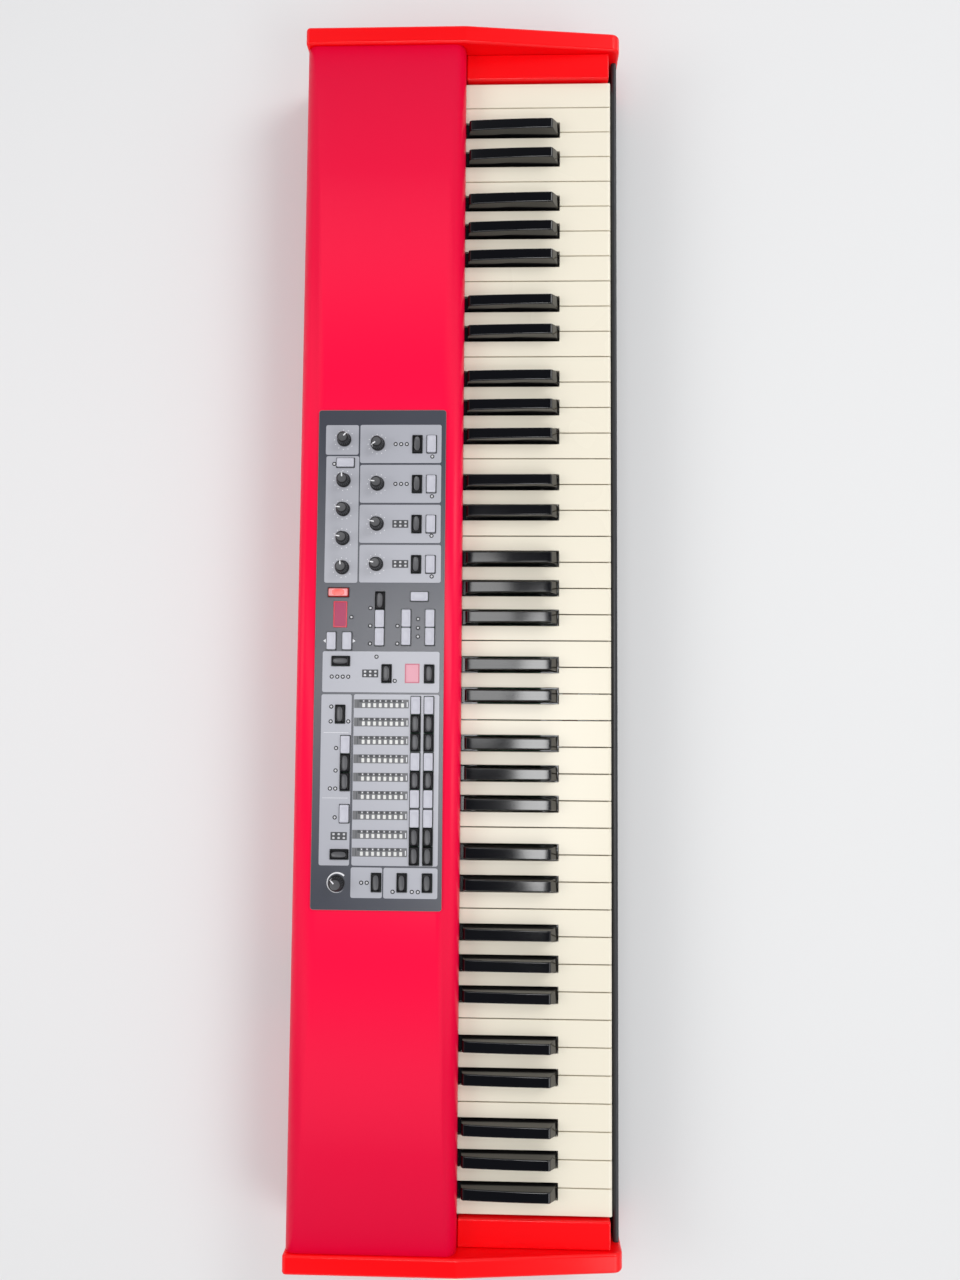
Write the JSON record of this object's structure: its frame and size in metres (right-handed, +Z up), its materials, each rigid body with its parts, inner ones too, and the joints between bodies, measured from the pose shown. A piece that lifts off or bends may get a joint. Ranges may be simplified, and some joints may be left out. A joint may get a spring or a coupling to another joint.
{
  "type": "stage keyboard",
  "caption": "Red stage keyboard: waterfall keys between lacquered wooden cheeks, with a grey control panel of knobs, buttons and two displays on its folded metal case.",
  "frame": {"origin": "on the ground, under the middle of the instrument's bounding box", "axes": "+X to the player's right along the keys, +Y from the player to the back, +Z up"},
  "size_m": [1.098, 0.288, 0.1005],
  "materials": {
    "case_red": "bright red paint with a satin sheen",
    "lacquer_red": "pure red gloss lacquer over wood",
    "key_ivory": "cream, gloss",
    "key_black": "black, high gloss",
    "black_steel": "black paint, satin",
    "plated_steel": "zinc-plated",
    "overlay_grey": "dark grey, matte, with light grey printed fields",
    "cap_grey": "light grey, matte",
    "knob_black": "black, matte",
    "store_red": "translucent red",
    "display_red": "red window over a numeric display",
    "display_pink": "pink window over a numeric display",
    "felt_red": "dense wool felt",
    "board_green": "glass-fibre board with solder mask",
    "socket_black": "black moulding",
    "rubber_black": "matte"
  },
  "bodies": {
    "case": {"bottom_tray": "black_steel", "top_shell": "case_red", "control_overlay": "overlay_grey", "end_cheek_left": "lacquer_red", "end_cheek_right": "lacquer_red", "key_block_left": "lacquer_red", "key_block_right": "lacquer_red", "front_rail": "black_steel", "keybed_frame": "plated_steel", "key_pivot_rod": "plated_steel", "key_stop_felt": "felt_red", "key_contact_board": "board_green", "main_board": "board_green", "panel_board": "board_green", "jack_board": "board_green", "power_inlet": "socket_black", "foot_front_left": "rubber_black", "foot_front_right": "rubber_black", "foot_rear_left": "rubber_black", "foot_rear_right": "rubber_black", "program_display": "display_red", "piano_display": "display_pink"},
    "white_keys_F1_E2": {"white_keys_F1_E2": "key_ivory"},
    "white_keys_F2_E3": {"white_keys_F2_E3": "key_ivory"},
    "white_keys_F4_E5": {"white_keys_F4_E5": "key_ivory"},
    "white_keys_F5_E6": {"white_keys_F5_E6": "key_ivory"},
    "white_keys_F6_F7": {"white_keys_F6_F7": "key_ivory"},
    "black_keys_F1_E2": {"black_keys_F1_E2": "key_black"},
    "black_keys_F2_E3": {"black_keys_F2_E3": "key_black"},
    "black_keys_F4_E5": {"black_keys_F4_E5": "key_black"},
    "black_keys_F5_E6": {"black_keys_F5_E6": "key_black"},
    "black_keys_F6_F7": {"black_keys_F6_F7": "key_black"},
    "key_F3": {"key_F3": "key_ivory"},
    "key_Fs3": {"key_Fs3": "key_black"},
    "key_G3": {"key_G3": "key_ivory"},
    "key_Gs3": {"key_Gs3": "key_black"},
    "key_A3": {"key_A3": "key_ivory"},
    "key_As3": {"key_As3": "key_black"},
    "key_B3": {"key_B3": "key_ivory"},
    "key_C4": {"key_C4": "key_ivory"},
    "key_Cs4": {"key_Cs4": "key_black"},
    "key_D4": {"key_D4": "key_ivory"},
    "key_Ds4": {"key_Ds4": "key_black"},
    "key_E4": {"key_E4": "key_ivory"},
    "master_knob": {"master_knob": "knob_black"},
    "drive_knob": {"drive_knob": "knob_black"},
    "tone_knob_1": {"tone_knob_1": "knob_black"},
    "tone_knob_2": {"tone_knob_2": "knob_black"},
    "tone_knob_3": {"tone_knob_3": "knob_black"},
    "tone_knob_4": {"tone_knob_4": "knob_black"},
    "effect_knob_1": {"effect_knob_1": "knob_black"},
    "effect_knob_2": {"effect_knob_2": "knob_black"},
    "effect_knob_3": {"effect_knob_3": "knob_black"},
    "effect_knob_4": {"effect_knob_4": "knob_black"},
    "organ_buttons": {"organ_buttons": "cap_grey"},
    "piano_buttons": {"piano_buttons": "knob_black"},
    "program_buttons": {"program_buttons": "cap_grey"},
    "effect_buttons": {"effect_buttons": "cap_grey"},
    "store_button": {"store_button": "store_red"},
    "power_switch": {"power_switch": "socket_black"}
  },
  "joints": [
    {"name": "white_keys_F1_E2_press", "type": "hinge", "parent": "case", "child": "white_keys_F1_E2", "pos_m": [0, 0.069, 0.058], "axis": [1, 0, 0], "range_deg": [0, 2.8], "stiffness_Nm_per_rad": 2.31, "springref_deg": -17.19},
    {"name": "white_keys_F2_E3_press", "type": "hinge", "parent": "case", "child": "white_keys_F2_E3", "pos_m": [0, 0.069, 0.058], "axis": [1, 0, 0], "range_deg": [0, 2.8], "stiffness_Nm_per_rad": 2.31, "springref_deg": -17.19},
    {"name": "white_keys_F4_E5_press", "type": "hinge", "parent": "case", "child": "white_keys_F4_E5", "pos_m": [0, 0.069, 0.058], "axis": [1, 0, 0], "range_deg": [0, 2.8], "stiffness_Nm_per_rad": 2.31, "springref_deg": -17.19},
    {"name": "white_keys_F5_E6_press", "type": "hinge", "parent": "case", "child": "white_keys_F5_E6", "pos_m": [0, 0.069, 0.058], "axis": [1, 0, 0], "range_deg": [0, 2.8], "stiffness_Nm_per_rad": 2.31, "springref_deg": -17.19},
    {"name": "white_keys_F6_F7_press", "type": "hinge", "parent": "case", "child": "white_keys_F6_F7", "pos_m": [0, 0.069, 0.058], "axis": [1, 0, 0], "range_deg": [0, 2.8], "stiffness_Nm_per_rad": 2.64, "springref_deg": -17.19},
    {"name": "black_keys_F1_E2_press", "type": "hinge", "parent": "case", "child": "black_keys_F1_E2", "pos_m": [0, 0.069, 0.058], "axis": [1, 0, 0], "range_deg": [0, 2.8], "stiffness_Nm_per_rad": 1.65, "springref_deg": -17.19},
    {"name": "black_keys_F2_E3_press", "type": "hinge", "parent": "case", "child": "black_keys_F2_E3", "pos_m": [0, 0.069, 0.058], "axis": [1, 0, 0], "range_deg": [0, 2.8], "stiffness_Nm_per_rad": 1.65, "springref_deg": -17.19},
    {"name": "black_keys_F4_E5_press", "type": "hinge", "parent": "case", "child": "black_keys_F4_E5", "pos_m": [0, 0.069, 0.058], "axis": [1, 0, 0], "range_deg": [0, 2.8], "stiffness_Nm_per_rad": 1.65, "springref_deg": -17.19},
    {"name": "black_keys_F5_E6_press", "type": "hinge", "parent": "case", "child": "black_keys_F5_E6", "pos_m": [0, 0.069, 0.058], "axis": [1, 0, 0], "range_deg": [0, 2.8], "stiffness_Nm_per_rad": 1.65, "springref_deg": -17.19},
    {"name": "black_keys_F6_F7_press", "type": "hinge", "parent": "case", "child": "black_keys_F6_F7", "pos_m": [0, 0.069, 0.058], "axis": [1, 0, 0], "range_deg": [0, 2.8], "stiffness_Nm_per_rad": 1.65, "springref_deg": -17.19},
    {"name": "key_F3_press", "type": "hinge", "parent": "case", "child": "key_F3", "pos_m": [0, 0.069, 0.058], "axis": [1, 0, 0], "range_deg": [0, 2.8], "stiffness_Nm_per_rad": 0.33, "springref_deg": -17.19},
    {"name": "key_Fs3_press", "type": "hinge", "parent": "case", "child": "key_Fs3", "pos_m": [0, 0.069, 0.058], "axis": [1, 0, 0], "range_deg": [0, 2.8], "stiffness_Nm_per_rad": 0.33, "springref_deg": -17.19},
    {"name": "key_G3_press", "type": "hinge", "parent": "case", "child": "key_G3", "pos_m": [0, 0.069, 0.058], "axis": [1, 0, 0], "range_deg": [0, 2.8], "stiffness_Nm_per_rad": 0.33, "springref_deg": -17.19},
    {"name": "key_Gs3_press", "type": "hinge", "parent": "case", "child": "key_Gs3", "pos_m": [0, 0.069, 0.058], "axis": [1, 0, 0], "range_deg": [0, 2.8], "stiffness_Nm_per_rad": 0.33, "springref_deg": -17.19},
    {"name": "key_A3_press", "type": "hinge", "parent": "case", "child": "key_A3", "pos_m": [0, 0.069, 0.058], "axis": [1, 0, 0], "range_deg": [0, 2.8], "stiffness_Nm_per_rad": 0.33, "springref_deg": -17.19},
    {"name": "key_As3_press", "type": "hinge", "parent": "case", "child": "key_As3", "pos_m": [0, 0.069, 0.058], "axis": [1, 0, 0], "range_deg": [0, 2.8], "stiffness_Nm_per_rad": 0.33, "springref_deg": -17.19},
    {"name": "key_B3_press", "type": "hinge", "parent": "case", "child": "key_B3", "pos_m": [0, 0.069, 0.058], "axis": [1, 0, 0], "range_deg": [0, 2.8], "stiffness_Nm_per_rad": 0.33, "springref_deg": -17.19},
    {"name": "key_C4_press", "type": "hinge", "parent": "case", "child": "key_C4", "pos_m": [0, 0.069, 0.058], "axis": [1, 0, 0], "range_deg": [0, 2.8], "stiffness_Nm_per_rad": 0.33, "springref_deg": -17.19},
    {"name": "key_Cs4_press", "type": "hinge", "parent": "case", "child": "key_Cs4", "pos_m": [0, 0.069, 0.058], "axis": [1, 0, 0], "range_deg": [0, 2.8], "stiffness_Nm_per_rad": 0.33, "springref_deg": -17.19},
    {"name": "key_D4_press", "type": "hinge", "parent": "case", "child": "key_D4", "pos_m": [0, 0.069, 0.058], "axis": [1, 0, 0], "range_deg": [0, 2.8], "stiffness_Nm_per_rad": 0.33, "springref_deg": -17.19},
    {"name": "key_Ds4_press", "type": "hinge", "parent": "case", "child": "key_Ds4", "pos_m": [0, 0.069, 0.058], "axis": [1, 0, 0], "range_deg": [0, 2.8], "stiffness_Nm_per_rad": 0.33, "springref_deg": -17.19},
    {"name": "key_E4_press", "type": "hinge", "parent": "case", "child": "key_E4", "pos_m": [0, 0.069, 0.058], "axis": [1, 0, 0], "range_deg": [0, 2.8], "stiffness_Nm_per_rad": 0.33, "springref_deg": -17.19},
    {"name": "master_knob_turn", "type": "hinge", "parent": "case", "child": "master_knob", "pos_m": [-0.2236, 0.1027, 0.0895], "axis": [0, 0, 1], "range_deg": [-150, 150]},
    {"name": "drive_knob_turn", "type": "hinge", "parent": "case", "child": "drive_knob", "pos_m": [0.165, 0.1025, 0.0895], "axis": [0, 0, 1], "range_deg": [-150, 150]},
    {"name": "tone_knob_1_turn", "type": "hinge", "parent": "case", "child": "tone_knob_1", "pos_m": [0.0506, 0.1025, 0.0895], "axis": [0, 0, 1], "range_deg": [-150, 150]},
    {"name": "tone_knob_2_turn", "type": "hinge", "parent": "case", "child": "tone_knob_2", "pos_m": [0.0765, 0.1025, 0.0895], "axis": [0, 0, 1], "range_deg": [-150, 150]},
    {"name": "tone_knob_3_turn", "type": "hinge", "parent": "case", "child": "tone_knob_3", "pos_m": [0.1024, 0.1025, 0.0895], "axis": [0, 0, 1], "range_deg": [-150, 150]},
    {"name": "tone_knob_4_turn", "type": "hinge", "parent": "case", "child": "tone_knob_4", "pos_m": [0.1283, 0.1025, 0.0895], "axis": [0, 0, 1], "range_deg": [-150, 150]},
    {"name": "effect_knob_1_turn", "type": "hinge", "parent": "case", "child": "effect_knob_1", "pos_m": [0.0537, 0.0725, 0.0895], "axis": [0, 0, 1], "range_deg": [-150, 150]},
    {"name": "effect_knob_2_turn", "type": "hinge", "parent": "case", "child": "effect_knob_2", "pos_m": [0.0895, 0.0725, 0.0895], "axis": [0, 0, 1], "range_deg": [-150, 150]},
    {"name": "effect_knob_3_turn", "type": "hinge", "parent": "case", "child": "effect_knob_3", "pos_m": [0.1253, 0.0725, 0.0895], "axis": [0, 0, 1], "range_deg": [-150, 150]},
    {"name": "effect_knob_4_turn", "type": "hinge", "parent": "case", "child": "effect_knob_4", "pos_m": [0.1611, 0.0725, 0.0895], "axis": [0, 0, 1], "range_deg": [-150, 150]},
    {"name": "organ_buttons_press", "type": "slide", "parent": "case", "child": "organ_buttons", "axis": [0, 0, -1], "range_m": [0, 0.0008], "stiffness_N_per_m": 800, "springref_m": -0.002},
    {"name": "piano_buttons_press", "type": "slide", "parent": "case", "child": "piano_buttons", "axis": [0, 0, -1], "range_m": [0, 0.0008], "stiffness_N_per_m": 300, "springref_m": -0.002},
    {"name": "program_buttons_press", "type": "slide", "parent": "case", "child": "program_buttons", "axis": [0, 0, -1], "range_m": [0, 0.0008], "stiffness_N_per_m": 500, "springref_m": -0.002},
    {"name": "effect_buttons_press", "type": "slide", "parent": "case", "child": "effect_buttons", "axis": [0, 0, -1], "range_m": [0, 0.0008], "stiffness_N_per_m": 500, "springref_m": -0.002},
    {"name": "store_button_press", "type": "slide", "parent": "case", "child": "store_button", "axis": [0, 0, -1], "range_m": [0, 0.0008], "stiffness_N_per_m": 150, "springref_m": -0.002},
    {"name": "power_switch_rock", "type": "hinge", "parent": "case", "child": "power_switch", "pos_m": [-0.3153, 0.137, 0.042], "axis": [1, 0, 0], "range_deg": [-16, 0]}
  ]
}
